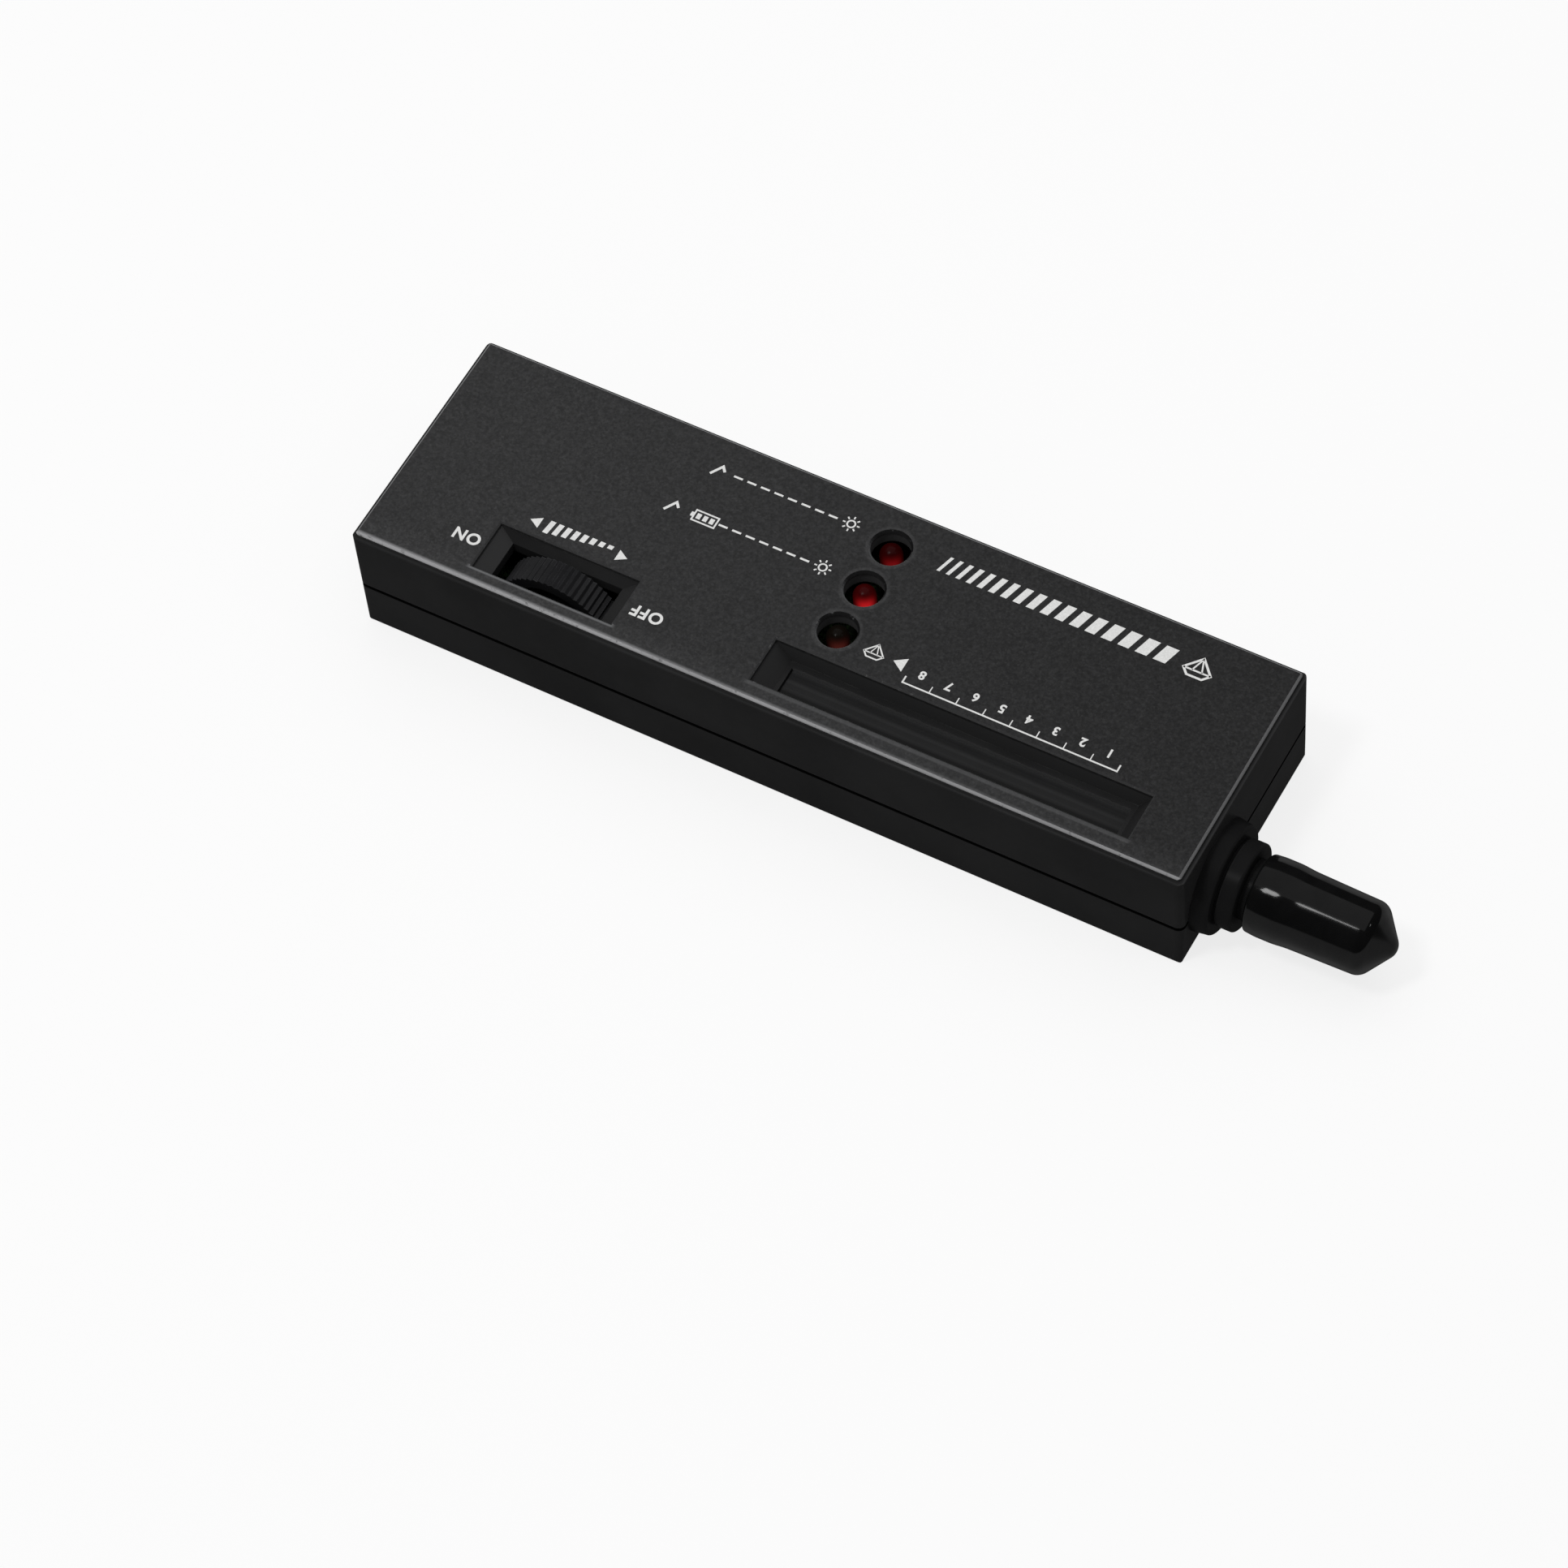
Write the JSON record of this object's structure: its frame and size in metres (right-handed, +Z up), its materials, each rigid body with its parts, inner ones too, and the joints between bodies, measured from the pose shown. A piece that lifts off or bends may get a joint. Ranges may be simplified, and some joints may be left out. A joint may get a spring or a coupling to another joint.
{
  "type": "diamond tester",
  "caption": "Flat hand-held diamond tester: moulded case, metal faceplate, edge wheel, bar display window, indicator lamps and a sprung probe under a soft pull-off cap.",
  "frame": {"origin": "on the underside of the case, below the middle of the whole tester's length and width", "axes": "+X from the tail to the probe, +Y to the side away from the edge wheel, +Z up through the faceplate"},
  "size_m": [0.1672, 0.041, 0.0216],
  "materials": {
    "case_plastic": "fine satin black moulded plastic",
    "plate_finish": "charcoal black with a fine metallic grain, bare bevelled edge",
    "screw_steel": "zinc plated",
    "wheel_plastic": "satin black, ridged",
    "phenolic": "brown laminate",
    "window_tint": "dark tinted acrylic",
    "segment_green": "diffused lens",
    "segment_amber": "diffused lens",
    "segment_red": "diffused lens",
    "lamp_red_dim": "red tinted lens",
    "lamp_red": "red tinted lens",
    "lamp_dark": "clear lens, unlit",
    "sleeve_chrome": "bright plated",
    "cream_ceramic": "unglazed",
    "spring_steel": "drawn wire",
    "bead_glass": "glass-coated bead",
    "tip_copper": "polished copper",
    "lead_white": "flexible insulation",
    "lead_red": "flexible insulation",
    "lead_black": "flexible insulation",
    "cap_vinyl": "glossy soft vinyl",
    "board_green": "glass laminate",
    "chip_black": "moulded",
    "capacitor_blue": "shrink sleeve",
    "resistor_tan": "lacquered",
    "trimmer_blue": "moulded",
    "battery_wrap": "plain wrapped can",
    "foam_grey": "closed-cell foam"
  },
  "bodies": {
    "case": {"top_shell": "case_plastic", "faceplate": "plate_finish", "bottom_shell": "case_plastic", "case_screws": "screw_steel", "control_pot": "phenolic", "bar_window": "window_tint", "bar_leds_green": "segment_green", "bar_leds_amber": "segment_amber", "bar_leds_red": "segment_red", "lamp_ready": "lamp_red_dim", "lamp_battery": "lamp_red", "lamp_diamond": "lamp_dark", "nose_collar": "case_plastic", "probe_sleeve": "sleeve_chrome", "sleeve_plug": "cream_ceramic", "probe_spring": "spring_steel", "probe_leads": "lead_white", "circuit_board": "board_green", "display_driver": "chip_black", "amplifier": "chip_black", "capacitors": "capacitor_blue", "resistors": "resistor_tan", "trimmers": "trimmer_blue", "transistor": "chip_black", "buzzer": "chip_black", "battery": "battery_wrap", "battery_terminals": "sleeve_chrome", "battery_snap": "lead_black", "battery_lead_red": "lead_red", "battery_lead_black": "lead_black", "battery_pad": "foam_grey"},
    "edge_wheel": {"thumbwheel": "wheel_plastic", "wheel_screw": "screw_steel"},
    "measuring_tip": {"probe_tip": "tip_copper", "tip_holder": "cream_ceramic", "thermistor": "bead_glass"},
    "cap": {"protective_cap": "cap_vinyl"},
    "door": {"battery_door": "case_plastic"}
  },
  "joints": [
    {"name": "wheel_turn", "type": "hinge", "parent": "case", "child": "edge_wheel", "pos_m": [-0.0523, -0.01295, 0.012], "axis": [0, -1, 0], "range_deg": [0, 270]},
    {"name": "tip_press", "type": "slide", "parent": "case", "child": "measuring_tip", "axis": [-1, 0, 0], "range_m": [0, 0.0012], "stiffness_N_per_m": 250, "springref_m": -0.002, "deforming": ["probe_spring"]},
    {"name": "cap_pull", "type": "slide", "parent": "case", "child": "cap", "axis": [1, 0, 0], "range_m": [0, 0.03]},
    {"name": "door_slide", "type": "slide", "parent": "case", "child": "door", "axis": [-1, 0, 0], "range_m": [0, 0.055]}
  ]
}
